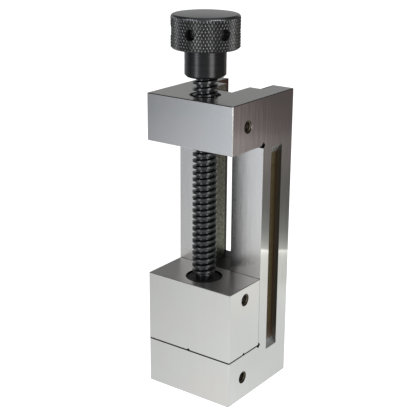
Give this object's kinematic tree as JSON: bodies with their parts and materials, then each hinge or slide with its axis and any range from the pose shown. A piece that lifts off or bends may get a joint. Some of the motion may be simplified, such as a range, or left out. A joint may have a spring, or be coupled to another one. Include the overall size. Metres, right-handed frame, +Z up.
{
  "type": "precision vise",
  "caption": "Small ground-steel machine vise standing on its fixed-jaw end: L-shaped body, sliding jaw with keeper plate, black lead screw and knurled knob with tommy-bar holes.",
  "frame": {"origin": "where the screw's axis meets the lower end face that the vise stands on", "axes": "+Z up the screw's axis towards the knob, +Y from the open front towards the underside, +X to the right seen from the open front"},
  "size_m": [0.05, 0.0553, 0.191],
  "materials": {
    "ground_steel": "surface-ground, fine parallel lines",
    "black_oxide_steel": "black oxide, oiled, semi-gloss",
    "milled_steel": "milled, with straight cutter lines",
    "hardened_steel": "polished",
    "spring_steel": "dark, phosphated"
  },
  "bodies": {
    "body": {"vise_body": "ground_steel"},
    "jaw": {"moving_jaw": "ground_steel", "keeper_plate": "milled_steel", "keeper_screw_lower": "black_oxide_steel", "keeper_screw_upper": "black_oxide_steel", "screw_bush": "black_oxide_steel", "retaining_screw_right": "black_oxide_steel", "retaining_screw_left": "black_oxide_steel", "thrust_ball": "hardened_steel", "thrust_pad": "hardened_steel"},
    "screw": {"lead_screw": "black_oxide_steel", "knob": "black_oxide_steel", "knob_pin": "spring_steel"}
  },
  "joints": [
    {"name": "jaw_slide", "type": "slide", "parent": "body", "child": "jaw", "axis": [0, 0, 1], "range_m": [0, 0.0685]},
    {"name": "screw_turn", "type": "hinge", "parent": "jaw", "child": "screw", "pos_m": [0, 0, 0.1], "axis": [0, 0, 1], "range_deg": [0, 7767]}
  ],
  "couplings": [
    {"joint": "screw_turn", "follows": "jaw_slide", "rad_per_m": 1979}
  ]
}
